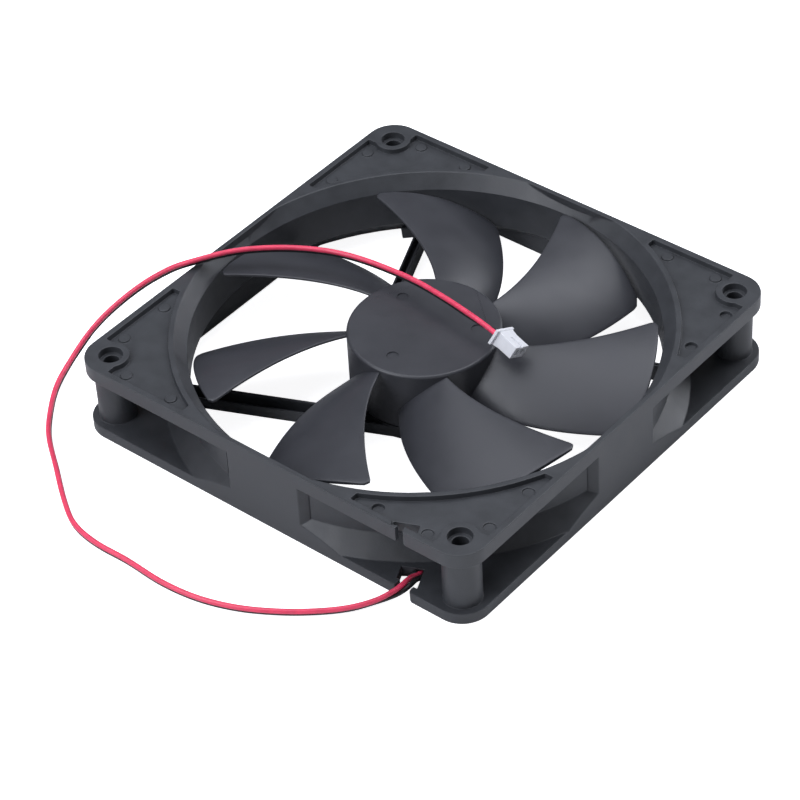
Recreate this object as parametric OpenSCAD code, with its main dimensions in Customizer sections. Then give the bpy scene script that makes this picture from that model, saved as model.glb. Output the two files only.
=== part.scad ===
// Case fan: square moulded frame, seven-bladed impeller on a sleeve-bearing motor,
// and a two-wire lead that ends in a two-way crimp housing.
// Frame: origin at the centre of the underside (exhaust side), +Z towards the intake side.

/* [Frame] */
// Side of the square frame
side = 140; // [139:0.5:142]
// Thickness of the frame, front to back
depth = 25; // [24.6:0.1:26]
// Spacing of the corner screw holes
hole_pitch = 124.5; // [124:0.5:125]
// Diameter of the screw holes
hole_d = 4.5; // [4:0.1:5]
// Radius of the frame's outer corners
corner_r = 8.5; // [7:0.5:10]
// Thickness of the intake-side flange
top_flange = 4.8; // [4:0.1:5.5]
// Thickness of the exhaust-side flange
bottom_flange = 3.6; // [3:0.1:4]
// Depth of the corner pockets in the intake-side flange
pocket_depth = 1.7; // [1:0.1:2]

/* [Air duct] */
// Inner radius of the duct
duct_r = 67; // [66.5:0.1:67.4]
// Thickness of the duct wall
duct_wall = 2.3; // [2:0.1:2.6]
// Radius of the intake mouth at the face
mouth_r = 70.4; // [69.5:0.1:71]
// Height of the intake bell
bell_h = 4.1; // [3:0.1:5]
// Radius of the exhaust flare at the underside
flare_r = 76; // [75:0.5:76]
// Distance from the axis to the flats that cut the mouth and the flare
flat_x = 68.4; // [68:0.1:68.6]

/* [Impeller] */
// Number of blades
blade_count = 7; // [5:1:7]
// Radius of the hub
hub_r = 22; // [22:0.1:22.3]
// Height of the hub's face above the underside
hub_top = 23.5; // [23.2:0.1:23.7]
// Radius at the blade tips
tip_r = 65.5; // [64:0.1:66]
// Height of the leading edges
lead_z = 22.2; // [21.8:0.1:22.4]
// Drop from the leading to the trailing edges
blade_drop = 12; // [10:0.5:12.5]
// Greatest thickness of a blade
blade_t = 1.3; // [1:0.1:1.5]

/* [Struts] */
// Direction of the first strut's normal from the axis
strut_angle = 23.6; // [23:0.1:24]
// Distance from the axis to a strut's inner face
strut_in = 17.9; // [17.9:0.1:18]
// Distance from the axis to a strut's outer face
strut_out = 21.6; // [21.5:0.1:21.7]

/* [Lead] */
// Outer diameter of each wire
wire_d = 1.5; // [1.3:0.1:1.5]
// Pitch of the two contacts
pin_pitch = 2.5; // [2.4:0.1:2.5]

/* [Hidden] */
$fn = 96;
eps = 0.01;
quarter = 90;

// Frame
half = side / 2;
hole_x = hole_pitch / 2;
hole_r = hole_d / 2;
counterbore_r = 3.4;
counterbore_depth = 2.2;
boss_r = 5.4;
boss_edge = 57.8;
rim_in = 68;
pocket_end = 30;
lip_r = 72;
flare_h = flare_r - duct_r;
duct_out = duct_r + duct_wall;
pad_half = 12.5;
pad_chamfer = 2.2;
mark_r = 1.7;
mark_h = 0.5;
mark_deep = 1.1;
mark_near = 37;
mark_far = 53.7;
mark_edge = 65.2;
// The lead's two T-shaped holes: across and along the wire strut, and their stems' widths.
slot_across = [13.3, 20.4];
slot_along = [78.8, 81.5];
slot_stem = [46.7, 48.5];
exit_across = [13.3, 19.55];
exit_along = 74.9;
exit_edge = -67.5;
exit_stem = [45.2, 49.6];
stem_round = 1.4;

// Motor base, which the struts carry
base_t = 2;
base_rim_h = 4.2;
base_rim_in = 20.9;
label_r = 17.7;
label_t = 0.2;
recess_t = 0.3;
recess_r = 18;
socket_r = 6.2;
socket_top = 5.6;
tube_floor = 0.8;
channel_z = 1;
channel_w = 2.2;
channel_top = 4.3;
// The tunnel that takes the wires on through the duct wall, side by side, and under the flange's skin.
tunnel_top = 3;
tunnel_left = 17.45;
tunnel_along = [64, 69.5, 72.5, 77];
lead_foot = [16.4, 66.5];
strut_mid = (strut_in + strut_out) / 2;
strut_tall = 5.5;
strut_low = 3.8;
strut_wall = (strut_out - strut_in - channel_w) / 2;
foot_r = 71;
foot_h = 4;
sweep_r = 22.8;
standoff_r = 1.3;
standoff_at = 14;
standoff_angles = [75, 165, 285];

// Bearing and shaft
shaft_r = 1.5;
shaft_bottom = 1.35;
shaft_top = 22.4;
groove_z = 2.55;
groove_h = 0.5;
groove_r = 1.2;
clip_r = 2.8;
tube_r = 4.5;
tube_bore = 3.4;
tube_top = 19;
sleeve_z = [4, 16.8];
sleeve_bore = 1.55;
seal_t = 0.8;
seal_bore = 1.8;
washer_t = 0.5;

// Rotor cup and magnet
hub_wall = 1.55;
hub_face = 1.5;
hub_bottom = 4.6;
hub_round = 1;
spindle_r = 4;
spindle_bottom = 19.6;
yoke_out = hub_r - hub_wall;
yoke_in = 19.5;
yoke_z = [5.5, 22];
yoke_t = 0.9;
yoke_hole = 6;
magnet_in = 17.4;
magnet_z = [6, 18.5];
dimple_r = 1.75;
dimple_at = 15;
dimple_depth = 0.4;
dimple_angles = [33, 153, 273];

// Stator
core_z = [8, 15];
core_r = 17;
core_ring = 7;
arm_w = 4;
shoe_in = 15;
shoe_half = 38;
former_ring = 7.8;
former_t = 0.8;
former_arm = 5.4;
former_wall_h = 1.5;
coil_x = [8.3, 13.4];
coil_y = [2.8, 5];
coil_mid = (core_z[0] + core_z[1]) / 2;
coil_z = [4.6, 5.8];
coil_round = 1.2;
pin_r = 0.35;
pin_at = 15.9;
pin_z = [4, 7.6];

// Circuit board
board_z = 4.2;
board_t = 1;
board_r = 18.6;
board_hole = 6.5;

// Crimp housing
plug_at = [23.3, 4.9, 28.6];
plug_turn = [-30, 16, -7];
plug_len = 7.7;
plug_flange = [0.9, 8.5, 4.8];
plug_ramp = [3, 2.3];
plug_groove = [3.4, 1, 0.4];
plug_body = [6.6, 3.8];
entry_r = 0.85;
entry_depth = 1;
contact_w = 1.8;
contact_len = 5.4;
window = [1.3, 1.9];
contact_bore = 0.45;

// Blade outline: the angle of each edge from the tip station, in degrees,
// is a quadratic of the height up the blade, 0 at the hub and 1 at the tip.
lead_poly = [-34, 28, -6];
trail_poly = [-71, 33, -6];
root_r = 21.2;
blade_rows = 12;
blade_cols = 10;
camber_root = 0.55;
camber_tip = 0.15;
edge_thin = 0.4;

// Red wire: its route from the board to the flange, across, along and up, in the wire strut's frame.
strut_route = [
    [16.9, -6, 2], [18.3, -2, 1.8], [19.65, 5, 1.8], [19.75, 14, 1.8], [19.75, 63, 1.8],
    [19.35, 66.5, 1.8], [18.87, 69, 1.8], [18.47, 71, 1.8], [18.32, 73, 1.8], [18.28, 75.2, 1.9]
];
black_start = [14.6, -5.6, 3.3];
// Red wire: its route from the flange, over the table, up over the frame and to the housing.
free_route = [
    [46.5, -64.5, 2.8], [46.7, -66.7, 3.4], [46.8, -68.8, 3.5], [46.3, -71.6, 3.2],
    [44.4, -76.8, 2.8], [40.3, -83, 2.6],
    [34, -89, 2.4], [26, -95, 2.4], [16, -100.5, 2.4], [5, -104, 2.4],
    [-7, -105.2, 2.4], [-20, -104.5, 2.4], [-32, -104.5, 2.4], [-41.5, -102.5, 2.4],
    [-50, -97.5, 2.4], [-62, -88.5, 2.4], [-73, -80, 2.4], [-80, -72, 2.4],
    [-86, -63, 2.5], [-89.5, -53.5, 3.5], [-90.5, -44, 7], [-88, -37, 12],
    [-82.5, -29.5, 18.5], [-75.5, -24, 24.4], [-70, -20.3, 27.4], [-62, -9.5, 28.2],
    [-52.5, -1, 28.3], [-42, 5, 28.4], [-33, 7.8, 28.6], [-23, 9, 28.9],
    [-10.5, 9, 29.4], [1, 7.6, 29.8], [12, 5.8, 29.9], [19, 4.6, 29.6]
];
// The black wire lies over the red one in the strut, beside it in the tunnel, and under it after.
turn_from = 5;
pair_turns = [
    [0.27, 0.12, 0.95], [0.55, 0.24, 0.8], [0.8, 0.35, 0.5], [0.89, 0.39, 0.23], [0.92, 0.4, 0.06],
    [0.95, 0.2, -0.1], [0.93, 0, -0.37], [0.5, 0, -0.87], [0.1, 0, -1]
];
pair_free = [-0.33, 0.37, -0.87];
pair_gap = 1.52;
wire_sides = 8;

// ---- helpers ----

function unit(v) = v / norm(v);
function clamp01(x) = min(1, max(0, x));
function quad(c, t) = c[0] + c[1] * t + c[2] * t * t;

// A point given across, along and up a strut, turned into the fan's own frame.
function on_strut(p) = [
    p[0] * cos(strut_angle) + p[1] * sin(strut_angle),
    p[0] * sin(strut_angle) - p[1] * cos(strut_angle),
    p[2]
];

// A direction of the crimp housing turned into the fan's own frame.
function turn_x(v, a) = [v[0], v[1] * cos(a) - v[2] * sin(a), v[1] * sin(a) + v[2] * cos(a)];
function turn_y(v, a) = [v[0] * cos(a) + v[2] * sin(a), v[1], v[2] * cos(a) - v[0] * sin(a)];
function turn_z(v, a) = [v[0] * cos(a) - v[1] * sin(a), v[0] * sin(a) + v[1] * cos(a), v[2]];
function on_plug(v) = plug_at + turn_z(turn_y(turn_x(v, plug_turn[0]), plug_turn[1]), plug_turn[2]);

module ring(r_out, r_in, h) {
    difference() {
        cylinder(r = r_out, h = h);
        translate([0, 0, -1]) cylinder(r = r_in, h = h + 2);
    }
}

module rounded_square(w, r) {
    for (a = [0 : quarter : 359]) rotate(a) translate([w / 2 - r, w / 2 - r]) circle(r);
    square([w, w - 2 * r], center = true);
    square([w - 2 * r, w], center = true);
}

module corners() {
    for (a = [0 : quarter : 359]) rotate(a) children();
}

// ---- frame ----

module duct_body() {
    rotate_extrude() polygon([
        [0, 0], [flare_r + duct_wall, 0], [duct_out, flare_h], [duct_out, depth], [0, depth]
    ]);
}

module duct_void() {
    intersection() {
        rotate_extrude() polygon([
            [0, -1], [flare_r, -1], [flare_r, 0], [duct_r, flare_h],
            [duct_r, depth - bell_h], [mouth_r, depth], [mouth_r, depth + 1], [0, depth + 1]
        ]);
        translate([-flat_x, -flat_x, -2]) cube([2 * flat_x, 2 * flat_x, depth + 4]);
    }
}

module side_pad() {
    back = duct_r - 4;
    step = half - pad_chamfer;
    linear_extrude(depth) polygon([
        [back, -pad_half - pad_chamfer], [step, -pad_half - pad_chamfer], [half, -pad_half],
        [half, pad_half], [step, pad_half + pad_chamfer], [back, pad_half + pad_chamfer]
    ]);
}

module corner_pocket() {
    difference() {
        translate([pocket_end, pocket_end]) square(rim_in - pocket_end);
        circle(lip_r);
        translate([hole_x, hole_x]) circle(boss_r);
        translate([boss_edge, hole_x]) square(half);
        translate([hole_x, boss_edge]) square(half);
    }
}

module pocket_mark(x, y, up) {
    floor_z = depth - pocket_depth;
    if (up) translate([x, y, floor_z - eps]) cylinder(r = mark_r, h = mark_h);
    else translate([x, y, floor_z - (x > mark_edge - 1 && y > 0 || x < mark_far - 1 && y < 0 ? mark_deep : mark_h)])
        cylinder(r = mark_r, h = depth);
}

// Moulding marks: the corner towards the lead has hollow ones, the far corners raised ones.
module pocket_marks(up) {
    for (p = [[mark_edge, mark_near], [mark_edge, mark_far]]) {
        if (!up) pocket_mark(p[0], p[1], false);
        if (up) pocket_mark(-p[0], p[1], true);
        if (up) pocket_mark(-p[0], -p[1], true);
        if (!up) pocket_mark(p[0], -p[1], false);
    }
    for (p = [[mark_near, mark_edge], [mark_far, mark_edge]]) {
        if (up) pocket_mark(p[0], p[1], true);
        if (up) pocket_mark(-p[0], p[1], true);
        if (up) pocket_mark(-p[0], -p[1], true);
        if (!up) pocket_mark(p[0], -p[1], false);
    }
}

// A slot from x[0] to x[1] that opens through the side at -Y, with a rounded corner on the right.
module stem(x, far, z, h) {
    translate([x[0], -half - 1, z]) cube([x[1] - x[0], far + half + 1, h]);
    difference() {
        translate([x[1] - eps, -half - 1, z]) cube([stem_round, stem_round + 1, h]);
        translate([x[1] + stem_round, -half + stem_round, z - 1]) cylinder(r = stem_round, h = h + 2);
    }
}

module lead_slots() {
    top_z = depth - top_flange - 1;
    rotate(strut_angle) translate([slot_across[0], -slot_along[1], top_z])
        cube([slot_across[1] - slot_across[0], slot_along[1] - slot_along[0], top_flange + 2]);
    stem(slot_stem, exit_edge + 0.5, top_z, top_flange + 2);
    intersection() {
        rotate(strut_angle) translate([exit_across[0], -side, -1])
            cube([exit_across[1] - exit_across[0], side - exit_along, bottom_flange + 1.5]);
        translate([0, exit_edge, -1]) cube(side);
    }
    stem(exit_stem, exit_edge + 0.5, -1, bottom_flange + 1.5);
}

module outer_shell() {
    difference() {
        union() {
            linear_extrude(bottom_flange) rounded_square(side, corner_r);
            translate([0, 0, depth - top_flange]) linear_extrude(top_flange) rounded_square(side, corner_r);
            intersection() {
                duct_body();
                linear_extrude(depth) square(side, center = true);
            }
            corners() translate([hole_x, hole_x, 0]) cylinder(r = boss_r, h = depth);
            corners() side_pad();
        }
        duct_void();
        corners() translate([0, 0, depth - pocket_depth]) linear_extrude(pocket_depth + 1) corner_pocket();
        corners() translate([hole_x, hole_x, -1]) cylinder(r = hole_r, h = depth + 2);
        corners() translate([hole_x, hole_x, depth - counterbore_depth])
            cylinder(r = counterbore_r, h = counterbore_depth + 1);
        pocket_marks(false);
        lead_slots();
    }
    pocket_marks(true);
}

// One strut: an upright channel along -Y, tangent to the motor base, with a foot at the duct.
module strut() {
    run = sqrt(pow(flare_r, 2) - pow(strut_in, 2));
    translate([strut_in, -run, 0]) cube([strut_out - strut_in, run, channel_z]);
    translate([strut_in, -run, 0]) cube([strut_wall, run, strut_tall]);
    translate([strut_out - strut_wall, -run, 0]) cube([strut_wall, run, strut_low]);
    diagonal = -45 - strut_angle;
    linear_extrude(foot_h) polygon([
        [foot_r * cos(diagonal), foot_r * sin(diagonal)],
        [flare_r * cos(diagonal), flare_r * sin(diagonal)],
        [strut_out, -sqrt(pow(flare_r, 2) - pow(strut_out, 2))],
        [strut_out, -sqrt(pow(foot_r, 2) - pow(strut_out, 2))]
    ]);
}

module struts() {
    difference() {
        intersection() {
            union() {
                corners() rotate(strut_angle) strut();
                rotate(strut_angle) translate([lead_foot[0], -side, 0])
                    cube([strut_in - lead_foot[0], side - lead_foot[1], foot_h]);
            }
            duct_body();
        }
        translate([0, 0, base_rim_h]) cylinder(r = sweep_r, h = depth);
    }
}

// Room for the wires: the channel of the first strut, and the tunnel on through the duct wall.
module wire_channel() {
    right = strut_mid + channel_w / 2;
    first = [strut_mid - channel_w / 2, -tunnel_along[1], channel_z];
    rotate(strut_angle) {
        translate(first) cube([channel_w, tunnel_along[1] - 2, channel_top - channel_z]);
        translate([12.8, -4 - eps, channel_z]) cube([right - 12.8, 12, channel_top]);
        intersection() {
            translate([0, 0, channel_z]) linear_extrude(channel_top) polygon([
                [strut_mid - channel_w / 2, -tunnel_along[0]], [tunnel_left, -tunnel_along[2]],
                [tunnel_left, -tunnel_along[3]], [right, -tunnel_along[3]], [right, -tunnel_along[0]]
            ]);
            rotate([90, 0, 90]) linear_extrude(side) polygon([
                [-tunnel_along[0], 0], [-tunnel_along[0], tunnel_top], [-tunnel_along[1], tunnel_top],
                [-tunnel_along[1] - eps, channel_top], [-tunnel_along[2], tunnel_top],
                [-tunnel_along[3], tunnel_top], [-tunnel_along[3], 0]
            ]);
        }
    }
}

module motor_base() {
    difference() {
        union() {
            cylinder(r = hub_r, h = base_t);
            ring(hub_r, base_rim_in, base_rim_h);
            cylinder(r = socket_r, h = socket_top);
            for (a = standoff_angles) rotate(a) translate([standoff_at, 0, 0])
                cylinder(r = standoff_r, h = board_z);
        }
        translate([0, 0, -1]) cylinder(r = recess_r, h = 1 + recess_t);
        translate([0, 0, tube_floor]) cylinder(r = tube_r, h = depth);
    }
}

module frame() {
    color("#47494c") difference() {
        union() {
            outer_shell();
            struts();
            motor_base();
        }
        wire_channel();
    }
}

module rear_label() {
    color("#d8d8d6") translate([0, 0, recess_t - label_t]) cylinder(r = label_r, h = label_t);
}

// ---- bearing ----

module bearing_tube() {
    color("#b08d4a") translate([0, 0, tube_floor]) ring(tube_r, tube_bore, tube_top - tube_floor);
}

module thrust_washer() {
    color("#e8e4d8") translate([0, 0, tube_floor]) cylinder(r = tube_bore, h = washer_t);
}

module sleeve_bearing() {
    color("#8a6a3c") translate([0, 0, sleeve_z[0]]) ring(tube_bore, sleeve_bore, sleeve_z[1] - sleeve_z[0]);
}

module oil_seal() {
    color("#222222") translate([0, 0, sleeve_z[1]]) ring(tube_bore, seal_bore, seal_t);
}

// ---- stator ----

module sector(r, half_angle) {
    far = 2 * r;
    intersection() {
        circle(r);
        polygon([[0, 0], [far * cos(half_angle), -far * sin(half_angle)],
                 [far * cos(half_angle), far * sin(half_angle)]]);
    }
}

module pole_plate(ring_r, width, r, half_angle, bore) {
    difference() {
        union() {
            circle(ring_r);
            corners() {
                translate([0, -width / 2]) square([shoe_in + 1, width]);
                difference() {
                    sector(r, half_angle);
                    circle(shoe_in);
                }
            }
        }
        circle(bore);
    }
}

module stator_core() {
    color("#7d7f82") translate([0, 0, core_z[0]])
        linear_extrude(core_z[1] - core_z[0]) pole_plate(core_ring, arm_w, core_r, shoe_half, tube_r);
}

// A winding former: a plate on the core's face, with walls that keep the coils in.
module former() {
    linear_extrude(former_t) pole_plate(former_ring, former_arm, core_r - 0.4, shoe_half - 4, tube_r);
    wall_h = former_t + former_wall_h;
    ring(former_ring, former_ring - 0.8, wall_h);
    corners() linear_extrude(wall_h) difference() {
        sector(shoe_in + 0.3, shoe_half - 14);
        circle(shoe_in - 0.5);
    }
}

module upper_former() {
    color("#e9e6dc") translate([0, 0, core_z[1]]) former();
}

module lower_former() {
    color("#e9e6dc") difference() {
        translate([0, 0, core_z[0]]) mirror([0, 0, 1]) former();
        for (a = [0, 90, 180]) rotate(a) translate([pin_at, 0, 0]) cylinder(r = pin_r, h = pin_z[1]);
    }
}

module coil_outline(y, z, r) {
    for (sy = [-1, 1], sz = [-1, 1]) translate([sy * (y - r), sz * (z - r)]) circle(r);
    square([2 * y, 2 * (z - r)], center = true);
    square([2 * (y - r), 2 * z], center = true);
}

module coil(i) {
    color("#b5622c") rotate((i - 1) * quarter) translate([coil_x[0], 0, coil_mid])
        rotate([90, 0, 90]) linear_extrude(coil_x[1] - coil_x[0]) difference() {
            coil_outline(coil_y[1], coil_z[1], coil_round);
            square([2 * coil_y[0], 2 * coil_z[0]], center = true);
        }
}

module winding_pin(i) {
    color("#c9c9c4") rotate((i - 1) * quarter) translate([pin_at, 0, pin_z[0]])
        cylinder(r = pin_r, h = pin_z[1] - pin_z[0]);
}

// ---- circuit board ----

module circuit_board() {
    color("#2f6b45") translate([0, 0, board_z]) difference() {
        ring(board_r, board_hole, board_t);
        for (a = [0, 90, 180]) rotate(a) translate([pin_at, 0, -1]) cylinder(r = pin_r, h = board_t + 2);
    }
}

module hall_sensor() {
    color("#1d1d1f") rotate(45) translate([15.6, -1.5, board_z + board_t]) cube([1.6, 3, 0.6]);
}

module driver_chip() {
    color("#1d1d1f") translate([-12.5, -10.5, board_z - 1.5]) cube([5, 4, 1.5]);
}

module capacitor() {
    color("#a98f6a") translate([-8.5, 10.5, board_z - 1.2]) cube([1.3, 2, 1.2]);
}

module solder(p) {
    color("#c7c9cb") translate([p[0], p[1], p[2] - wire_d / 2]) cylinder(r = 0.7, h = board_z - p[2] + wire_d / 2);
}

module solder_red() {
    solder(on_strut(strut_route[0] - [0.22, 0.6, 0]));
}

module solder_black() {
    solder(on_strut(black_start - [0.45, 0.45, 0]));
}

// ---- rotor ----

function blade_u(i) = i / blade_rows;
function blade_r(i) = root_r + (tip_r - root_r) * blade_u(i);
function blade_h(r) = (r - hub_r) / (tip_r - hub_r);
function camber(t) = camber_root + (camber_tip - camber_root) * t;

// One point of a blade: row i from the hub out, column j from leading to trailing edge,
// and face +1 for the intake-side surface or -1 for the exhaust-side one.
function blade_point(i, j, face) =
    let (
        r = blade_r(i),
        t = blade_h(r),
        s = j / blade_cols,
        k = camber(clamp01(t)),
        lead = quad(lead_poly, t),
        chord = lead - quad(trail_poly, t),
        arc = r * chord * PI / 180,
        fall = blade_drop * (k + 2 * (1 - k) * s),
        across = [-fall, arc] / norm([-fall, arc]),
        thick = blade_t * (1 - edge_thin * pow(2 * s - 1, 4)) / 2,
        angle = lead - chord * s + face * thick * across[0] / r * 180 / PI,
        z = lead_z - blade_drop * (k * s + (1 - k) * s * s) + face * thick * across[1]
    ) [r * cos(angle), r * sin(angle), z];

module blade() {
    rows = blade_rows + 1;
    cols = blade_cols + 1;
    count = rows * cols;
    points = [
        for (face = [-1, 1], i = [0 : blade_rows], j = [0 : blade_cols]) blade_point(i, j, face)
    ];
    function at(f, i, j) = f * count + i * cols + j;
    lower = [
        for (i = [0 : blade_rows - 1], j = [0 : blade_cols - 1], h = [0, 1])
            h == 0 ? [at(0, i, j), at(0, i, j + 1), at(0, i + 1, j + 1)]
                   : [at(0, i, j), at(0, i + 1, j + 1), at(0, i + 1, j)]
    ];
    upper = [
        for (i = [0 : blade_rows - 1], j = [0 : blade_cols - 1], h = [0, 1])
            h == 0 ? [at(1, i, j), at(1, i + 1, j + 1), at(1, i, j + 1)]
                   : [at(1, i, j), at(1, i + 1, j), at(1, i + 1, j + 1)]
    ];
    long_edges = [
        for (i = [0 : blade_rows - 1], e = [0, blade_cols], h = [0, 1])
            let (a = at(0, i, e), b = at(0, i + 1, e), c = at(1, i + 1, e), d = at(1, i, e))
            let (f = h == 0 ? [a, b, c] : [a, c, d])
            e == 0 ? f : [f[2], f[1], f[0]]
    ];
    end_edges = [
        for (j = [0 : blade_cols - 1], e = [0, blade_rows], h = [0, 1])
            let (a = at(0, e, j), b = at(1, e, j), c = at(1, e, j + 1), d = at(0, e, j + 1))
            let (f = h == 0 ? [a, b, c] : [a, c, d])
            e == 0 ? f : [f[2], f[1], f[0]]
    ];
    polyhedron(points, concat(lower, upper, long_edges, end_edges));
}

module hub() {
    difference() {
        rotate_extrude() {
            polygon([
                [0, hub_top], [hub_r - hub_round, hub_top], [hub_r - 0.3, hub_top - 0.3],
                [hub_r, hub_top - hub_round], [hub_r, hub_bottom], [hub_r - hub_wall, hub_bottom],
                [hub_r - hub_wall, hub_top - hub_face], [spindle_r, hub_top - hub_face],
                [spindle_r, spindle_bottom], [0, spindle_bottom]
            ]);
        }
        translate([0, 0, spindle_bottom - 1]) cylinder(r = shaft_r, h = shaft_top - spindle_bottom + 1);
        for (a = dimple_angles) rotate(a) translate([dimple_at, 0, hub_top - dimple_depth])
            cylinder(r = dimple_r, h = 1);
    }
}

module impeller() {
    color("#54565b") {
        hub();
        difference() {
            for (i = [0 : blade_count - 1]) rotate(i * 360 / blade_count) blade();
            translate([0, 0, -1]) cylinder(r = hub_r - hub_wall / 2, h = depth + 2);
        }
    }
}

module rotor_cup() {
    color("#9fa2a6") translate([0, 0, yoke_z[0]]) {
        ring(yoke_out, yoke_in, yoke_z[1] - yoke_z[0]);
        translate([0, 0, yoke_z[1] - yoke_z[0] - yoke_t]) ring(yoke_in + eps, yoke_hole, yoke_t);
    }
}

module rotor_magnet() {
    color("#2b2b2d") translate([0, 0, magnet_z[0]]) ring(yoke_in, magnet_in, magnet_z[1] - magnet_z[0]);
}

module shaft() {
    color("#c4c7ca") difference() {
        translate([0, 0, shaft_bottom]) cylinder(r = shaft_r, h = shaft_top - shaft_bottom);
        translate([0, 0, groove_z]) ring(shaft_r + 1, groove_r, groove_h);
    }
}

module retaining_clip() {
    color("#ecebe6") translate([0, 0, groove_z]) difference() {
        ring(clip_r, groove_r, groove_h);
        translate([0, -groove_r * 0.8, -1]) cube([clip_r + 1, groove_r * 1.6, groove_h + 2]);
    }
}

// ---- lead ----

function red_route() = concat(
    [for (p = strut_route) on_strut(p)],
    free_route,
    [on_plug([entry_depth, -pin_pitch / 2, 0])]
);

function tangent(route, i) = unit(route[min(i + 1, len(route) - 1)] - route[max(i - 1, 0)]);

// Where the black wire lies from point i of the red one.
function pair_side(i) =
    let (turn = i - turn_from)
    turn < 0 ? [0, 0, 1] : turn < len(pair_turns) ? pair_turns[turn] : pair_free;

function pair_point(route, i) =
    let (t = tangent(route, i), v = pair_side(i), d = unit(v - (v * t) * t)) route[i] + pair_gap * d;

function black_route() =
    let (
        red = red_route(),
        last = len(red) - 1,
        end = on_plug([entry_depth, pin_pitch / 2, 0])
    )
    [
        for (i = [0 : last])
            i == 0 ? on_strut(black_start)
            : i == last ? end
            : i == last - 1 ? pair_point(red, i) * 0.6 + (red[i] + end - red[last]) * 0.4
            : pair_point(red, i)
    ];

module tube(route) {
    count = len(route);
    up = [0, 0, 1];
    points = [
        for (i = [0 : count - 1])
            let (t = tangent(route, i), a = unit(cross(t, up)), b = cross(a, t))
            for (k = [0 : wire_sides - 1])
                let (w = k * 360 / wire_sides) route[i] + wire_d / 2 * (cos(w) * a + sin(w) * b)
    ];
    walls = [
        for (i = [0 : count - 2], k = [0 : wire_sides - 1], h = [0, 1])
            let (n = (k + 1) % wire_sides, p = i * wire_sides, q = p + wire_sides)
            h == 0 ? [p + k, q + k, q + n] : [p + k, q + n, p + n]
    ];
    first = [for (k = [0 : wire_sides - 1]) k];
    last = [for (k = [wire_sides - 1 : -1 : 0]) (count - 1) * wire_sides + k];
    polyhedron(points, concat(walls, [first], [last]));
}

module lead_red() {
    color("#e8516f") tube(red_route());
}

module lead_black() {
    color("#1c1c1e") tube(black_route());
}

module in_plug() {
    translate(plug_at) rotate(plug_turn) children();
}

module contact_room(side_y) {
    translate([0, side_y, 0]) {
        translate([-1, 0, 0]) rotate([0, 90, 0]) cylinder(r = entry_r, h = 2 + entry_depth);
        translate([entry_depth, -contact_w / 2, -contact_w / 2]) cube([contact_len, contact_w, contact_w]);
        translate([plug_len / 2, -window[0] / 2, -window[1] / 2]) cube([plug_len, window[0], window[1]]);
    }
}

module connector_housing() {
    color("#dedfe4") in_plug() difference() {
        union() {
            translate([0, -plug_flange[1] / 2, -plug_flange[2] / 2]) cube(plug_flange);
            translate([0, -plug_body[0] / 2, -plug_body[1] / 2]) cube([plug_len, plug_body[0], plug_body[1]]);
            rotate([90, 0, 0]) linear_extrude(plug_body[0], center = true) polygon([
                [0, -plug_ramp[1]], [plug_flange[0], -plug_ramp[1]], [plug_ramp[0], -plug_body[1] / 2],
                [plug_ramp[0], plug_body[1] / 2], [plug_flange[0], plug_ramp[1]], [0, plug_ramp[1]]
            ]);
        }
        for (s = [-1, 1]) contact_room(s * pin_pitch / 2);
        translate([plug_groove[0], -plug_groove[1] / 2, plug_body[1] / 2 - plug_groove[2]])
            cube([plug_len, plug_groove[1], 1]);
    }
}

module terminal(side_y) {
    size = contact_w - 0.1;
    color("#d3d0c2") in_plug() translate([entry_depth, side_y, 0]) difference() {
        translate([0, -size / 2, -size / 2]) cube([contact_len - 0.1, size, size]);
        translate([1.5, 0, 0]) rotate([0, 90, 0]) cylinder(r = contact_bore, h = contact_len);
    }
}

module terminal_red() {
    terminal(-pin_pitch / 2);
}

module terminal_black() {
    terminal(pin_pitch / 2);
}

frame();
rear_label();
bearing_tube();
sleeve_bearing();
thrust_washer();
oil_seal();
stator_core();
upper_former();
lower_former();
coil(1);  // coil_1
coil(2);  // coil_2
coil(3);  // coil_3
coil(4);  // coil_4
winding_pin(1);  // winding_pin_1
winding_pin(2);  // winding_pin_2
winding_pin(3);  // winding_pin_3
circuit_board();
hall_sensor();
driver_chip();
capacitor();
solder_red();
solder_black();
impeller();
rotor_cup();
rotor_magnet();
shaft();
retaining_clip();
lead_red();
lead_black();
connector_housing();
terminal_red();
terminal_black();
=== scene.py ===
"""Case fan: the looks of a square, seven-bladed case fan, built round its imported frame."""

import math

import bpy
from mathutils import Euler, Matrix, Vector


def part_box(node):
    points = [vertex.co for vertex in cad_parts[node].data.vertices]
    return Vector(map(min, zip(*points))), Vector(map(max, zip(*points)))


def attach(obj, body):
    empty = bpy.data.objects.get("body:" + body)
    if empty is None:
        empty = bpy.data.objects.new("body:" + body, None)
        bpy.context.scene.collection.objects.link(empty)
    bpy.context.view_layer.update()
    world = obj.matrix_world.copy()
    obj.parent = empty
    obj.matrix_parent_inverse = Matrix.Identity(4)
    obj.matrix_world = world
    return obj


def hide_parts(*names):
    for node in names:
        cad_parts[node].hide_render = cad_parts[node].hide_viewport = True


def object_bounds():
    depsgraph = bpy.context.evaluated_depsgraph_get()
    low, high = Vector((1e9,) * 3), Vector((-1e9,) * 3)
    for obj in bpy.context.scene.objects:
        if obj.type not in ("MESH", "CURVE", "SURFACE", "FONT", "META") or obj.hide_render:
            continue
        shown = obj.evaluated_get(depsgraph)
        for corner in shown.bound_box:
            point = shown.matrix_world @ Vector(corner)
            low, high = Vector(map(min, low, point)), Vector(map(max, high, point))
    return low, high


bl_info = {
    "name": "Case Fan Builder",
    "version": (1, 0, 0),
    "blender": (4, 5, 0),
    "location": "View3D > Sidebar > Case Fan",
    "description": "Builds a case fan's frame, impeller, lead, connector and motor finishes",
    "category": "Object",
}

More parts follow.
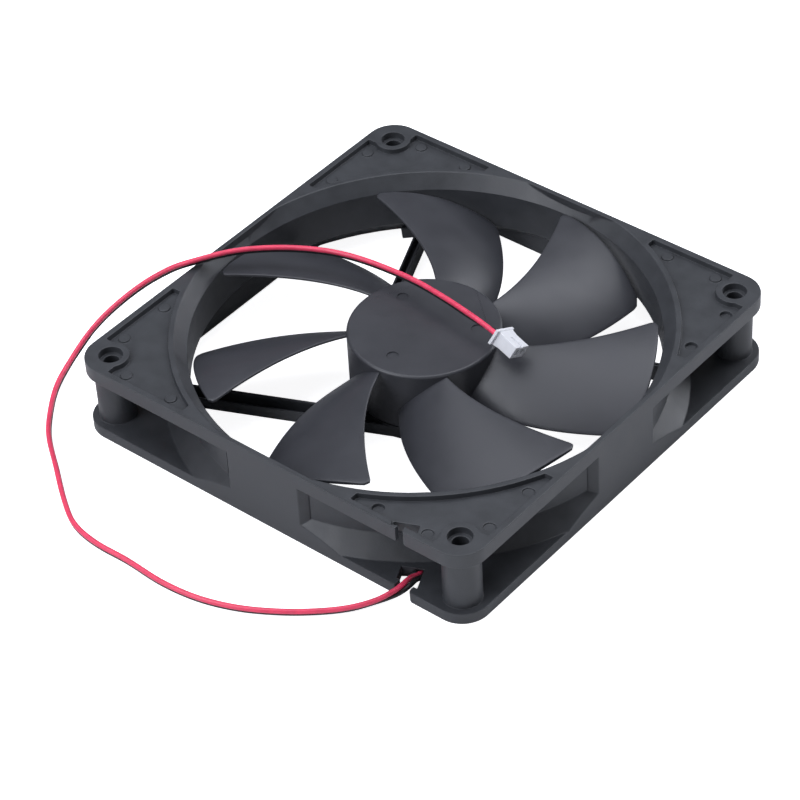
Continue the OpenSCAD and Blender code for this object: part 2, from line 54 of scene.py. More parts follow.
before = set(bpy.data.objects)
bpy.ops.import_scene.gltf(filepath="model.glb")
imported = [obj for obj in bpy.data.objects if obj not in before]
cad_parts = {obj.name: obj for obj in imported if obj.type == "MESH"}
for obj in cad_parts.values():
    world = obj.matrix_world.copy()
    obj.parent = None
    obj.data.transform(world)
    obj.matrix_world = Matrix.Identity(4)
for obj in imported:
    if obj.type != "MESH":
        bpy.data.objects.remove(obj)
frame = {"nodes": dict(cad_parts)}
CAD_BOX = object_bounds()
MM = 0.001

STATOR, ROTOR = "stator", "rotor"

# The strut that carries the wires lies at this turn from the X axis. The red wire's route in it
# and under the flange is given across, along and up the strut, in millimetres.
STRUT_TURN = math.radians(23.6)
STRUT_ROUTE = (
    (16.9, -6, 2), (18.3, -2, 1.8), (19.65, 5, 1.8), (19.75, 14, 1.8), (19.75, 63, 1.8),
    (19.35, 66.5, 1.8), (18.87, 69, 1.8), (18.47, 71, 1.8), (18.32, 73, 1.8), (18.28, 75.2, 1.9),
)
# On from the flange's hole, over the table, over the frame and to the connector, in millimetres.
FREE_ROUTE = (
    (46.5, -64.5, 2.8), (46.7, -66.7, 3.4), (46.8, -68.8, 3.5), (46.3, -71.6, 3.2),
    (44.4, -76.8, 2.8), (40.3, -83, 2.6),
    (34, -89, 2.4), (26, -95, 2.4), (16, -100.5, 2.4), (5, -104, 2.4),
    (-7, -105.2, 2.4), (-20, -104.5, 2.4), (-32, -104.5, 2.4), (-41.5, -102.5, 2.4),
    (-50, -97.5, 2.4), (-62, -88.5, 2.4), (-73, -80, 2.4), (-80, -72, 2.4),
    (-86, -63, 2.5), (-89.5, -53.5, 3.5), (-90.5, -44, 7), (-88, -37, 12),
    (-82.5, -29.5, 18.5), (-75.5, -24, 24.4), (-70, -20.3, 27.4), (-62, -9.5, 28.2),
    (-52.5, -1, 28.3), (-42, 5, 28.4), (-33, 7.8, 28.6), (-23, 9, 28.9),
    (-10.5, 9, 29.4), (1, 7.6, 29.8), (12, 5.8, 29.9), (19, 4.6, 29.6),
)
# The black wire lies over the red one in the strut. From point TURN_FROM of the route it turns
# about the red one to lie beside it under the flange, and on the free stretch it lies below.
BLACK_START = (14.6, -5.6, 3.3)
TURN_FROM = 5
PAIR_TURNS = (
    (0.27, 0.12, 0.95), (0.55, 0.24, 0.8), (0.8, 0.35, 0.5), (0.89, 0.39, 0.23), (0.92, 0.4, 0.06),
    (0.95, 0.2, -0.1), (0.93, 0, -0.37), (0.5, 0, -0.87), (0.1, 0, -1),
)
PAIR_FREE = (-0.33, 0.37, -0.87)
PAIR_GAP = 1.52

# The connector's place, its turns about X, Y and Z, how deep the wires end in it and how far apart.
PLUG_PLACE = Vector((23.3, 4.9, 28.6))
PLUG_TURN = Euler((math.radians(-30), math.radians(16), math.radians(-7)), "XYZ")
ENTRY_DEPTH, PLUG_PITCH = 1.0, 2.5

# Nearly all of a noise's values lie between these two.
NOISE_LOW, NOISE_HIGH = 0.3, 0.7


# ---- sizes and colours a user would change ----


class FanSizes(bpy.types.PropertyGroup):
    edge_radius: bpy.props.FloatProperty(
        name="Frame edge radius", description="Rounding of the frame's moulded edges",
        default=0.3 * MM, min=0.1 * MM, max=0.6 * MM, precision=5, unit="LENGTH",
    )
    blade_thickness: bpy.props.FloatProperty(
        name="Blade thickness", description="Thickness of a blade half way along its chord",
        default=1.3 * MM, min=0.8 * MM, max=1.5 * MM, precision=5, unit="LENGTH",
    )
    tip_rounding: bpy.props.FloatProperty(
        name="Tip rounding", description="Radius of the corners at a blade's tip",
        default=2.2 * MM, min=0.5 * MM, max=4 * MM, precision=5, unit="LENGTH",
    )
    wire_diameter: bpy.props.FloatProperty(
        name="Wire diameter", description="Outer diameter of each wire of the lead",
        default=1.5 * MM, min=1.3 * MM, max=1.5 * MM, precision=5, unit="LENGTH",
    )


class FanColours(bpy.types.PropertyGroup):
    frame: bpy.props.StringProperty(
        name="Frame", description="sRGB hex colour of the frame's plastic", default="#383a3e"
    )
    impeller: bpy.props.StringProperty(
        name="Impeller", description="sRGB hex colour of the impeller's plastic",
        default="#3b3c41",
    )
    red_wire: bpy.props.StringProperty(
        name="Red wire", description="sRGB hex colour of the red wire's insulation",
        default="#ed4568",
    )
    black_wire: bpy.props.StringProperty(
        name="Black wire", description="sRGB hex colour of the black wire's insulation",
        default="#1b1b1d",
    )
    connector: bpy.props.StringProperty(
        name="Connector", description="sRGB hex colour of the connector's nylon",
        default="#e4e5ea",
    )
    floor: bpy.props.StringProperty(
        name="Floor", description="sRGB hex colour of the studio floor", default="#f4f4f5"
    )


# ---- materials ----


def linear(hex_colour):
    """An sRGB hex colour as linear RGBA."""
    parts = [int(hex_colour[i : i + 2], 16) / 255 for i in (1, 3, 5)]
    return [c / 12.92 if c <= 0.04045 else ((c + 0.055) / 1.055) ** 2.4 for c in parts] + [1.0]


def per_mm(size_mm):
    """A noise scale, in cells a metre, whose cells are size_mm across."""
    return 1000 / size_mm


def add(tree, kind, settings=(), values=(), links=()):
    """Adds a shader node, with its settings, its sockets' values and its links."""
    node = tree.nodes.new(kind)
    for name, value in settings:
        setattr(node, name, value)
    for name, value in values:
        node.inputs[name].default_value = value
    for name, source in links:
        tree.links.new(source, node.inputs[name])
    return node


def new_material(name):
    """A material with an empty tree but for its shader and output."""
    made = bpy.data.materials.new(name)
    made.use_nodes = True
    tree = made.node_tree
    tree.nodes.clear()
    shader = add(tree, "ShaderNodeBsdfPrincipled")
    add(tree, "ShaderNodeOutputMaterial", links=[("Surface", shader.outputs["BSDF"])])
    return made, tree, shader


def speckle(tree, coordinates, size_mm, detail=2.0):
    """A noise of cells size_mm across, in object space."""
    return add(
        tree, "ShaderNodeTexNoise",
        values=[("Scale", per_mm(size_mm)), ("Detail", detail), ("Roughness", 0.55)],
        links=[("Vector", coordinates)],
    ).outputs["Fac"]


def ramp(tree, noise, low, high):
    """Maps a noise onto the colours from low to high."""
    node = add(tree, "ShaderNodeValToRGB", links=[("Fac", noise)])
    first, last = node.color_ramp.elements
    first.position, last.position = NOISE_LOW, NOISE_HIGH
    first.color, last.color = low, high
    return node.outputs["Color"]


def spread(tree, noise, low, high):
    """Maps a noise onto the numbers from low to high."""
    return add(
        tree, "ShaderNodeMapRange",
        values=[
            ("From Min", NOISE_LOW), ("From Max", NOISE_HIGH), ("To Min", low), ("To Max", high),
        ],
        links=[("Value", noise)],
    ).outputs["Result"]


def shade(colour, share):
    """A linear colour made lighter or darker by a share."""
    return [c * share for c in colour[:3]] + [1.0]


def moulded_plastic(name, hex_colour, roughness, mottle_mm, grain_mm, grain_depth_mm, contrast):
    """Injection-moulded thermoplastic: an even colour with faint cloudy mottling where the
    melt flowed, and a fine eroded texture off the mould."""
    made, tree, shader = new_material(name)
    place = add(tree, "ShaderNodeTexCoord").outputs["Object"]
    base = linear(hex_colour)
    cloud = speckle(tree, place, mottle_mm, 3.0)
    grain = speckle(tree, place, grain_mm)
    tree.links.new(
        ramp(tree, cloud, shade(base, 1 - contrast), shade(base, 1 + contrast)),
        shader.inputs["Base Color"],
    )
    tree.links.new(
        spread(tree, cloud, roughness - 0.05, roughness + 0.05), shader.inputs["Roughness"]
    )
    bump = add(
        tree, "ShaderNodeBump", values=[("Strength", 0.6), ("Distance", grain_depth_mm * MM)],
        links=[("Height", grain)],
    )
    tree.links.new(bump.outputs["Normal"], shader.inputs["Normal"])
    shader.inputs["IOR"].default_value = 1.5
    return made


def frame_plastic():
    """Glass-filled PBT, moulded: dark neutral grey, satin, with a slightly coarse skin."""
    return moulded_plastic(
        "Moulded PBT dark grey", bpy.context.scene.fan_colours.frame, roughness=0.45,
        mottle_mm=6.0, grain_mm=0.35, grain_depth_mm=0.03, contrast=0.12,
    )


def impeller_plastic():
    """ABS, moulded: a smoother and slightly bluer grey, whose satin skin shows soft sheen."""
    return moulded_plastic(
        "Moulded ABS satin grey", bpy.context.scene.fan_colours.impeller, roughness=0.38,
        mottle_mm=9.0, grain_mm=0.5, grain_depth_mm=0.012, contrast=0.06,
    )


def insulation(name, hex_colour):
    """Extruded PVC insulation: a soft gloss, with a faint ripple along the wire."""
    made, tree, shader = new_material(name)
    place = add(tree, "ShaderNodeTexCoord").outputs["Object"]
    base = linear(hex_colour)
    ripple = speckle(tree, place, 2.5)
    tree.links.new(
        ramp(tree, ripple, shade(base, 0.9), shade(base, 1.08)), shader.inputs["Base Color"]
    )
    tree.links.new(spread(tree, ripple, 0.3, 0.42), shader.inputs["Roughness"])
    bump = add(
        tree, "ShaderNodeBump", values=[("Strength", 0.3), ("Distance", 0.02 * MM)],
        links=[("Height", ripple)],
    )
    tree.links.new(bump.outputs["Normal"], shader.inputs["Normal"])
    shader.inputs["IOR"].default_value = 1.53
    shader.inputs["Subsurface Weight"].default_value = 0.15
    shader.inputs["Subsurface Radius"].default_value = (0.6, 0.2, 0.2)
    shader.inputs["Subsurface Scale"].default_value = 0.5 * MM
    return made


def nylon(name, hex_colour):
    """Natural nylon, moulded: milky, lets some light in, has a soft gloss, and moulded edges
    that catch the light."""
    made, tree, shader = new_material(name)
    place = add(tree, "ShaderNodeTexCoord").outputs["Object"]
    base = linear(hex_colour)
    cloud = speckle(tree, place, 1.5)
    tree.links.new(ramp(tree, cloud, shade(base, 0.95), base), shader.inputs["Base Color"])
    tree.links.new(spread(tree, cloud, 0.38, 0.48), shader.inputs["Roughness"])
    edge = add(tree, "ShaderNodeBevel", [("samples", 6)], [("Radius", 0.12 * MM)])
    bump = add(
        tree, "ShaderNodeBump", values=[("Strength", 0.25), ("Distance", 0.02 * MM)],
        links=[("Height", cloud), ("Normal", edge.outputs["Normal"])],
    )
    tree.links.new(bump.outputs["Normal"], shader.inputs["Normal"])
    shader.inputs["IOR"].default_value = 1.53
    shader.inputs["Subsurface Weight"].default_value = 0.4
    shader.inputs["Subsurface Radius"].default_value = (1.0, 1.0, 1.0)
    shader.inputs["Subsurface Scale"].default_value = 0.8 * MM
    return made


def worked_metal(name, hex_colour, roughness, stretch, line_mm=0.2):
    """A metal with the marks of how it was made. stretch scales their pattern along X, Y and Z,
    and a small number draws the marks out that way."""
    made, tree, shader = new_material(name)
    place = add(tree, "ShaderNodeTexCoord").outputs["Object"]
    turned = add(tree, "ShaderNodeMapping", values=[("Scale", stretch)], links=[("Vector", place)])
    marks = speckle(tree, turned.outputs["Vector"], line_mm)
    base = linear(hex_colour)
    tree.links.new(ramp(tree, marks, shade(base, 0.82), base), shader.inputs["Base Color"])
    tree.links.new(spread(tree, marks, roughness, roughness + 0.15), shader.inputs["Roughness"])
    bump = add(
        tree, "ShaderNodeBump", values=[("Strength", 0.3), ("Distance", 0.01 * MM)],
        links=[("Height", marks)],
    )
    tree.links.new(bump.outputs["Normal"], shader.inputs["Normal"])
    shader.inputs["Metallic"].default_value = 1.0
    return made


def plain_grained(name, hex_colour, roughness, grain_mm, grain_depth_mm, contrast=0.1):
    """A non-metal whose only texture is a fine, even grain."""
    made, tree, shader = new_material(name)
    place = add(tree, "ShaderNodeTexCoord").outputs["Object"]
    grain = speckle(tree, place, grain_mm)
    base = linear(hex_colour)
    tree.links.new(
        ramp(tree, grain, shade(base, 1 - contrast), shade(base, 1 + contrast)),
        shader.inputs["Base Color"],
    )
    tree.links.new(
        spread(tree, grain, roughness - 0.05, roughness + 0.05), shader.inputs["Roughness"]
    )
    bump = add(
        tree, "ShaderNodeBump", values=[("Strength", 0.4), ("Distance", grain_depth_mm * MM)],
        links=[("Height", grain)],
    )
    tree.links.new(bump.outputs["Normal"], shader.inputs["Normal"])
    return made


# ---- modelling helpers ----


def only(piece):
    """Leaves piece as the only selected object, and the active one."""
    bpy.ops.object.select_all(action="DESELECT")
    piece.select_set(True)
    bpy.context.view_layer.objects.active = piece
    return piece


def named(name):
    """Names the primitive that was just added, and its mesh."""
    piece = only(bpy.context.object)
    piece.name = piece.data.name = name
    return piece


def modify(piece, kind, **settings):
    """Adds a modifier to piece and applies it."""
    only(piece)
    modifier = piece.modifiers.new(kind.title(), kind)
    for key, value in settings.items():
        setattr(modifier, key, value)
    bpy.ops.object.modifier_apply(modifier=modifier.name)


def smooth(piece, degrees):
    """Shades piece smooth, but for edges sharper than degrees."""
    only(piece)
    bpy.ops.object.shade_smooth_by_angle(angle=math.radians(degrees))


def settle(piece):
    """Puts piece's place and turn into its mesh."""
    only(piece)
    bpy.ops.object.transform_apply(location=True, rotation=True, scale=True)
    return piece


def dress(piece, material):
    """Gives piece its one material."""
    piece.data.materials.clear()
    piece.data.materials.append(material)


def pick(piece, kind, test):
    """Selects only those of piece's faces or edges, as kind says, that pass test."""
    only(piece)
    bpy.ops.object.mode_set(mode="EDIT")
    bpy.ops.mesh.select_mode(type=kind)
    bpy.ops.mesh.select_all(action="DESELECT")
    bpy.ops.object.mode_set(mode="OBJECT")
    for part in piece.data.polygons if kind == "FACE" else piece.data.edges:
        part.select = test(part)


def merge_flat(piece, gap, flat_degrees):
    """Merges points closer than gap, and makes flat faces whole."""
    only(piece)
    bpy.ops.object.mode_set(mode="EDIT")
    bpy.ops.mesh.select_all(action="SELECT")
    bpy.ops.mesh.remove_doubles(threshold=gap)
    bpy.ops.mesh.dissolve_limited(angle_limit=math.radians(flat_degrees))
    bpy.ops.object.mode_set(mode="OBJECT")


def finish_shading(piece, degrees):
    """Shades piece smooth up to an angle, with its large flat faces kept flat."""
    smooth(piece, degrees)
    modify(piece, "WEIGHTED_NORMAL", keep_sharp=True, weight=100)


def hand_over(piece, body, material):
    """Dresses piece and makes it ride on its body."""
    dress(piece, material)
    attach(piece, body)


def within(point, box, margin=0.0):
    """The point, moved no further than it must to lie in box, margin inside its sides."""
    return [min(max(c, low + margin), high - margin) for c, low, high in zip(point, *box)]


def finished_copy(node_name, name, edge_radius):
    """A copy of a CAD node with merged points, flat faces made whole and rounded edges."""
    piece = bpy.data.objects.new(name, frame["nodes"][node_name].data.copy())
    bpy.context.scene.collection.objects.link(piece)
    only(piece)
    bpy.ops.mesh.customdata_custom_splitnormals_clear()
    merge_flat(piece, 0.002 * MM, 1.5)
    modify(
        piece, "BEVEL", width=edge_radius, segments=2, limit_method="ANGLE",
        angle_limit=math.radians(40), use_clamp_overlap=False, harden_normals=False,
    )
    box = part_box(node_name)
    for point in piece.data.vertices:
        point.co = within(point.co, box)
    finish_shading(piece, 30)
    return piece


# ---- the lead's route ----


def on_strut(p):
    """A point given across, along and up the wire strut, turned into the fan's frame."""
    c, s = math.cos(STRUT_TURN), math.sin(STRUT_TURN)
    return Vector((p[0] * c + p[1] * s, p[0] * s - p[1] * c, p[2]))


def in_plug(p):
    """A point of the connector's own frame, turned and moved into the fan's frame."""
    return PLUG_PLACE + PLUG_TURN.to_matrix() @ Vector(p)


def red_route():
    """The red wire's points, from its solder joint to the connector."""
    points = [on_strut(p) for p in STRUT_ROUTE] + [Vector(p) for p in FREE_ROUTE]
    return points + [in_plug((ENTRY_DEPTH, -PLUG_PITCH / 2, 0))]


def pair_side(i):
    """Which way the black wire lies from point i of the red one."""
    turn = i - TURN_FROM
    if turn < 0:
        return Vector((0, 0, 1))
    return Vector(PAIR_TURNS[turn] if turn < len(PAIR_TURNS) else PAIR_FREE)


def black_route():
    """The black wire goes along the red one, one wire away, and splits off at the connector."""
    red = red_route()
    end = in_plug((ENTRY_DEPTH, PLUG_PITCH / 2, 0))
    route = []
    for i, point in enumerate(red):
        along = (red[min(i + 1, len(red) - 1)] - red[max(i - 1, 0)]).normalized()
        aside = pair_side(i) - pair_side(i).dot(along) * along
        route.append(point + PAIR_GAP * aside.normalized())
    route[0] = on_strut(BLACK_START)
    # The last point outside the connector already leans towards the wire's own way in.
    route[-2] = route[-2] * 0.6 + (red[-2] + end - red[-1]) * 0.4
    route[-1] = end
    return route


# ---- operators ----


class FAN_OT_stage(bpy.types.Operator):
    """Camera, floor and soft studio light"""

    bl_idname = "fan.stage"
    bl_label = "Stage"

    def execute(self, context):
        scene = context.scene
        camera = bpy.data.objects.new("camera", bpy.data.cameras.new("camera"))
        scene.collection.objects.link(camera)
        # The camera's own axes, and its place in metres.
        right = Vector((0.77383, 0.63153, -0.04857))
        up = Vector((-0.38504, 0.52990, 0.75561))
        back = Vector((0.50293, -0.56601, 0.65322))
        camera.matrix_world = Matrix.Translation((0.449547, -0.518122, 0.588672)) @ Matrix(
            (right, up, back)
        ).transposed().to_4x4()
        camera.data.sensor_width = 36
        camera.data.lens = 142.5
        camera.data.clip_start, camera.data.clip_end = 0.05, 20
        scene.camera = camera

        bpy.ops.mesh.primitive_plane_add(size=6)
        floor = named("floor")
        dress(floor, self.floor_paint(scene.fan_colours.floor))

        # Softboxes all round the table. Each has its turn from the X axis and its height above
        # the table, in degrees, and its watts. All are as far off and as wide as this, in metres.
        reach, width = 1.5, 0.9
        for name, turn, height, power in (
            ("key", 252, 35, 10.5), ("top", 0, 90, 3.6), ("high_front", 252, 62, 3.5),
            ("high_left", 192, 62, 4.5), ("high_back", 132, 62, 1.5), ("high_right", 72, 62, 6),
            ("right", 72, 35, 4), ("low_right", 72, 14, 7), ("front", 312, 30, 0.8),
            ("low_front", 335, 8, 0.9),
        ):
            turn, height = math.radians(turn), math.radians(height)
            level = math.cos(height)
            place = reach * Vector(
                (level * math.cos(turn), level * math.sin(turn), math.sin(height))
            )
            light = bpy.data.objects.new(name, bpy.data.lights.new(name, "AREA"))
            scene.collection.objects.link(light)
            light.data.shape, light.data.size, light.data.energy = "DISK", width, power
            light.data.color = linear("#f4f7ff")[:3]
            light.location = place
            light.rotation_euler = (-place).to_track_quat("-Z", "Y").to_euler()

        world = bpy.data.worlds.new("studio")
        scene.world = world
        world.use_nodes = True
        background = world.node_tree.nodes["Background"]
        background.inputs["Color"].default_value = linear("#ffffff")
        background.inputs["Strength"].default_value = 0.12
        scene.view_settings.view_transform = "Standard"
        return {"FINISHED"}

    def floor_paint(self, hex_colour):
        """Matt white studio sweep, with the faintest unevenness."""
        made, tree, shader = new_material("Matt white sweep")
        place = add(tree, "ShaderNodeTexCoord").outputs["Object"]
        cloud = speckle(tree, place, 80)
        base = linear(hex_colour)
        tree.links.new(ramp(tree, cloud, shade(base, 0.995), base), shader.inputs["Base Color"])
        shader.inputs["Roughness"].default_value = 0.85
        # To the camera the sweep glows, as an overlit one does, so that its shadows stay pale.
        seen = add(tree, "ShaderNodeLightPath").outputs["Is Camera Ray"]
        shader.inputs["Emission Color"].default_value = base
        tree.links.new(seen, shader.inputs["Emission Strength"])
        return made


class FAN_OT_lead(bpy.types.Operator):
    """The red and the black wire of the lead"""

    bl_idname = "fan.lead"
    bl_label = "Lead"

    def execute(self, context):
        sizes, colours = context.scene.fan_sizes, context.scene.fan_colours
        finish = {
            "lead_red": insulation("Extruded PVC red", colours.red_wire),
            "lead_black": insulation("Extruded PVC black", colours.black_wire),
        }
        routes = {"lead_red": red_route(), "lead_black": black_route()}
        for node, route in routes.items():
            wire = self.wire(context, "wire_" + node[5:], route, sizes.wire_diameter)
            wire.data.materials.append(finish[node])
            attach(wire, STATOR)
            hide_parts(node)
        return {"FINISHED"}

    def wire(self, context, name, route, diameter):
        """A smooth curve of round section through the route's points."""
        data = bpy.data.curves.new(name, "CURVE")
        data.dimensions, data.use_fill_caps = "3D", True
        data.resolution_u, data.bevel_depth, data.bevel_resolution = 6, diameter / 2, 5
        spline = data.splines.new("BEZIER")
        spline.bezier_points.add(len(route) - 1)
        for i, (point, place) in enumerate(zip(spline.bezier_points, route)):
            before, after = route[max(i - 1, 0)], route[min(i + 1, len(route) - 1)]
            along = (after - before).normalized()
            point.co = place * MM
            point.handle_left_type = point.handle_right_type = "FREE"
            point.handle_left = (place - along * (place - before).length / 3) * MM
            point.handle_right = (place + along * (after - place).length / 3) * MM
            # A curve stays within its handles, so these keep the wire in the CAD model's box.
            for side in ("handle_left", "handle_right"):
                setattr(point, side, within(getattr(point, side), CAD_BOX, diameter / 2))
        wire = bpy.data.objects.new(name, data)
        context.scene.collection.objects.link(wire)
        return wire

    def length(self, wire):
        """The wire's length along its middle, in metres."""
        return sum(s.calc_length() for s in wire.data.splines)


class FAN_OT_frame(bpy.types.Operator):
    """The moulded frame with its struts and motor base, and the blank label under it"""

    bl_idname = "fan.frame"
    bl_label = "Frame"

    def execute(self, context):
        body = finished_copy("frame", "fan_frame", context.scene.fan_sizes.edge_radius)
        hand_over(body, STATOR, frame_plastic())
        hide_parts("frame")
        paper = plain_grained("Coated paper label", "#dcdcda", 0.45, 0.8, 0.005, 0.02)
        dress(frame["nodes"]["rear_label"], paper)
        return {"FINISHED"}


class FAN_OT_impeller(bpy.types.Operator):
    """The hub and its seven blades"""

    bl_idname = "fan.impeller"
    bl_label = "Impeller"

    blades = 7
    # Radii in millimetres. A blade's root lies a little inside the hub's wall.
    hub_r, tip_r, root_r = 22.0, 65.5, 21.2
    # How high the leading edge is, and how far below it the trailing edge, in millimetres.
    lead_z, drop = 22.2, 12.0
    # Where the two edges lie round the hub, in degrees: at the hub, and as the share of the way
    # to the tip and its square change it.
    lead_poly, trail_poly = (-34, 28, -6), (-71, 33, -6)
    # How straight the blade falls along its chord, from 0 for a full curve to 1 for none.
    camber_root, camber_tip = 0.55, 0.15
    rows, columns = 40, 28

    def execute(self, context):
        plastic = impeller_plastic()
        hub = self.hub()
        hand_over(hub, ROTOR, plastic)
        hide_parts("impeller")
        first = self.blade(context.scene.fan_sizes)
        for i in range(self.blades):
            blade = first if i == 0 else bpy.data.objects.new("blade", first.data.copy())
            if i:
                context.scene.collection.objects.link(blade)
                blade.data.transform(Matrix.Rotation(i * math.tau / self.blades, 4, "Z"))
            blade.name = f"blade_{i + 1}"
            hand_over(blade, ROTOR, plastic)
        return {"FINISHED"}

    def hub(self):
        """A cup with a rounded rim, three shallow ejector dimples and a boss for the shaft."""
        wall, face, bottom, top, rim = 1.55, 1.5, 4.6, 23.5, 0.9
        boss_r, boss_drop, boss_wall, bore = 4.0, 2.4, 2.5, 2.8
        dimple_r, dimple_deep, dimple_ring, cutter_high = 1.75, 0.4, 15, 2
        bpy.ops.mesh.primitive_cylinder_add(
            vertices=160, radius=self.hub_r * MM, depth=(top - bottom) * MM,
            location=(0, 0, (top + bottom) / 2 * MM),
        )
        hub = settle(named("impeller_hub"))
        pick(hub, "FACE", lambda f: f.normal.z < -0.9)
        # The cup's hollow, the boss that stands in it, and the hole for the shaft.
        bpy.ops.object.mode_set(mode="EDIT")
        for inset, rise in (
            (wall, top - face - bottom), (self.hub_r - wall - boss_r, -boss_drop),
            (boss_wall, bore),
        ):
            bpy.ops.mesh.inset(thickness=inset * MM)
            bpy.ops.mesh.extrude_region_move(TRANSFORM_OT_translate={"value": (0, 0, rise * MM)})
        bpy.ops.object.mode_set(mode="OBJECT")
        for turn in (33, 153, 273):
            angle = math.radians(turn)
            bpy.ops.mesh.primitive_cylinder_add(
                vertices=40, radius=dimple_r * MM, depth=cutter_high * MM,
                location=Vector((
                    dimple_ring * math.cos(angle), dimple_ring * math.sin(angle),
                    top - dimple_deep + cutter_high / 2,
                )) * MM,
            )
            cutter = named("cutter")
            modify(hub, "BOOLEAN", object=cutter, operation="DIFFERENCE", solver="EXACT")
            bpy.data.objects.remove(cutter)
        merge_flat(hub, 0.005 * MM, 1)
        pick(hub, "EDGE", lambda e: all(
            abs(p.z - top * MM) < 1e-6 and math.hypot(p.x, p.y) > (self.hub_r - 0.2) * MM
            for p in (hub.data.vertices[i].co for i in e.vertices)
        ))
        bpy.ops.object.mode_set(mode="EDIT")
        bpy.ops.mesh.bevel(offset=rim * MM, segments=5, affect="EDGES")
        bpy.ops.object.mode_set(mode="OBJECT")
        self.round_edges(hub, 0.15, 2)
        finish_shading(hub, 35)
        return hub

    def round_edges(self, piece, radius_mm, segments):
        """Rounds piece's sharp edges."""
        modify(
            piece, "BEVEL", width=radius_mm * MM, segments=segments, limit_method="ANGLE",
            angle_limit=math.radians(50),
        )

    def blade(self, sizes):
        """One blade, from a grid whose points follow the blade's rule, given its thickness."""
        bpy.ops.mesh.primitive_grid_add(
            x_subdivisions=self.rows, y_subdivisions=self.columns, size=1
        )
        blade = named("blade_1")
        group = blade.vertex_groups.new(name="thickness")
        for p in blade.data.vertices:
            u, s = p.co.x + 0.5, 0.5 - p.co.y
            p.co = self.place(u, s, sizes)
            # It thins towards both edges, to this share less.
            group.add([p.index], 1 - 0.4 * abs(2 * s - 1) ** 4, "REPLACE")
        only(blade)
        bpy.ops.object.mode_set(mode="EDIT")
        bpy.ops.mesh.select_all(action="SELECT")
        bpy.ops.mesh.normals_make_consistent(inside=False)
        bpy.ops.object.mode_set(mode="OBJECT")
        modify(
            blade, "SOLIDIFY", thickness=sizes.blade_thickness, offset=0, vertex_group="thickness",
            use_even_offset=True,
        )
        blade.vertex_groups.clear()
        self.round_edges(blade, 0.3, 3)
        smooth(blade, 40)
        return blade

    def place(self, u, s, sizes):
        """Where the blade's middle surface is, u of the way out and s of the way back. Near the
        tip the edges draw in round a corner's arc."""
        r = self.root_r + (self.tip_r - self.root_r) * u
        t = (r - self.hub_r) / (self.tip_r - self.hub_r)
        lead, trail = (c[0] + c[1] * t + c[2] * t * t for c in (self.lead_poly, self.trail_poly))
        rounding = sizes.tip_rounding / MM
        into = max(0.0, r - (self.tip_r - rounding))
        chord = math.radians(lead - trail) * r
        cut = (rounding - math.sqrt(max(0.0, rounding**2 - into**2))) / chord
        s = cut + s * (1 - 2 * cut)
        k = self.camber_root + (self.camber_tip - self.camber_root) * min(1, max(0, t))
        z = self.lead_z - self.drop * (k * s + (1 - k) * s * s)
        angle = math.radians(lead + (trail - lead) * s)
        return Vector((r * math.cos(angle), r * math.sin(angle), z)) * MM


class FAN_OT_connector(bpy.types.Operator):
    """The crimp housing on the lead's end, and its two terminals"""

    bl_idname = "fan.connector"
    bl_label = "Connector"

    def execute(self, context):
        housing = finished_copy("connector_housing", "crimp_housing", 0.12 * MM)
        white = nylon("Natural nylon white", context.scene.fan_colours.connector)
        hand_over(housing, STATOR, white)
        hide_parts("connector_housing")
        tin = worked_metal("Tinned brass", "#d6d3c6", 0.3, (1, 1, 0.1))
        for node in ("terminal_red", "terminal_black"):
            dress(frame["nodes"][node], tin)
        return {"FINISHED"}


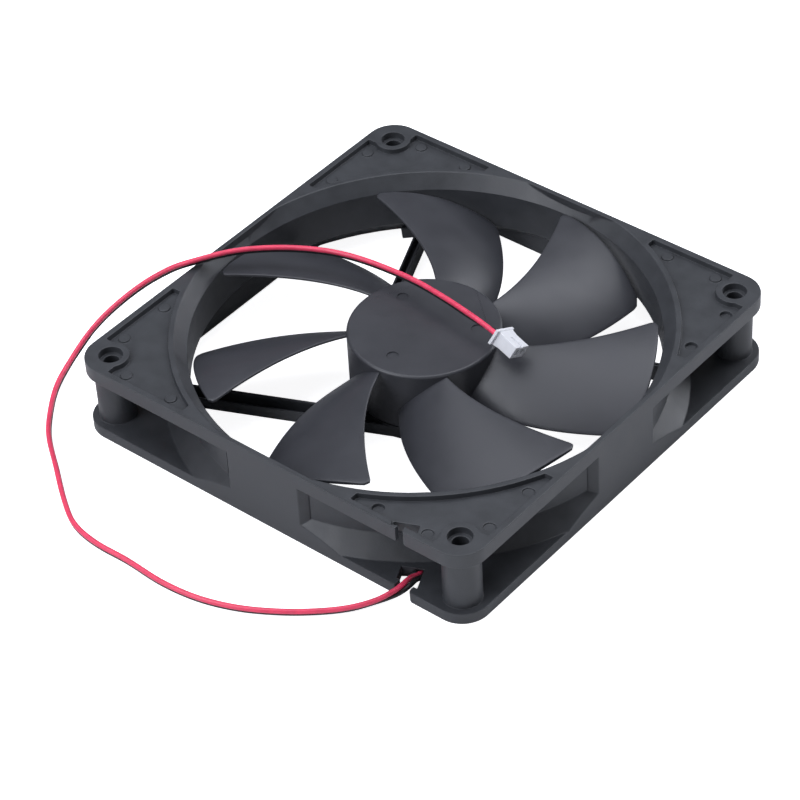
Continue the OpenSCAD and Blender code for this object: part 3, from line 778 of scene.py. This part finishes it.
class FAN_OT_motor(bpy.types.Operator):
    """Finishes for the motor's pieces, which stay as the CAD nodes they are"""

    bl_idname = "fan.motor"
    bl_label = "Motor"

    def execute(self, context):
        # The marks of a drawn or ground piece lie along Z, those of a stack or a winding across it.
        along, layers = (1, 1, 0.05), (0.05, 0.05, 1)
        finishes = {
            worked_metal("Turned brass", "#c8a356", 0.28, along): ["bearing_tube"],
            worked_metal("Sintered bronze", "#7d5a34", 0.5, (1, 1, 1), 0.3): ["sleeve_bearing"],
            worked_metal("Stacked lamination steel", "#8d8f92", 0.4, layers, 0.5): ["stator_core"],
            worked_metal("Enamelled copper winding", "#a9532a", 0.3, layers, 0.25):
                ["coil_1", "coil_2", "coil_3", "coil_4"],
            worked_metal("Tinned pin", "#cfcfca", 0.3, (1, 1, 0.1)):
                ["winding_pin_1", "winding_pin_2", "winding_pin_3"],
            worked_metal("Bright solder", "#cdd0d2", 0.18, (1, 1, 1), 0.6):
                ["solder_red", "solder_black"],
            worked_metal("Drawn zinc-plated steel", "#aeb1b5", 0.35, (1, 1, 0.1)): ["rotor_cup"],
            worked_metal("Ground steel", "#cfd2d5", 0.15, along, 0.1): ["shaft"],
            nylon("Former nylon", "#e9e6dc"): ["upper_former", "lower_former"],
            nylon("Washer nylon", "#ecebe6"): ["thrust_washer", "retaining_clip"],
            plain_grained("Nitrile rubber", "#1d1d1e", 0.75, 0.2, 0.01): ["oil_seal"],
            plain_grained("Green solder mask", "#2c6a45", 0.3, 1.2, 0.01, 0.15): ["circuit_board"],
            plain_grained("Moulded epoxy", "#1c1c1e", 0.55, 0.1, 0.01):
                ["hall_sensor", "driver_chip"],
            plain_grained("Ceramic chip", "#a98f6a", 0.5, 0.3, 0.01): ["capacitor"],
            plain_grained("Bonded ferrite", "#2a2a2c", 0.6, 0.25, 0.02): ["rotor_magnet"],
        }
        for material, nodes in finishes.items():
            for node in nodes:
                dress(frame["nodes"][node], material)
        return {"FINISHED"}


# ---- panel and registration ----


class FAN_PT_panel(bpy.types.Panel):
    """Sizes, colours and build steps of the case fan"""

    bl_idname = "FAN_PT_panel"
    bl_label = "Case Fan"
    bl_space_type = "VIEW_3D"
    bl_region_type = "UI"
    bl_category = "Case Fan"

    def draw(self, context):
        for group in (context.scene.fan_sizes, context.scene.fan_colours):
            for name in group.__annotations__:
                self.layout.prop(group, name)
        for step in OPERATORS:
            self.layout.operator(step.bl_idname)


OPERATORS = (
    FAN_OT_stage, FAN_OT_connector, FAN_OT_lead, FAN_OT_frame, FAN_OT_impeller, FAN_OT_motor,
)
CLASSES = (FanSizes, FanColours, *OPERATORS, FAN_PT_panel)


def register():
    for made in CLASSES:
        bpy.utils.register_class(made)
    bpy.types.Scene.fan_sizes = bpy.props.PointerProperty(type=FanSizes)
    bpy.types.Scene.fan_colours = bpy.props.PointerProperty(type=FanColours)


def unregister():
    del bpy.types.Scene.fan_sizes, bpy.types.Scene.fan_colours
    for made in reversed(CLASSES):
        bpy.utils.unregister_class(made)


def main():
    register()
    bpy.ops.fan.stage()
    bpy.ops.fan.connector()
    bpy.ops.fan.lead()
    bpy.ops.fan.frame()
    bpy.ops.fan.impeller()
    bpy.ops.fan.motor()


if __name__ == "__main__":
    main()
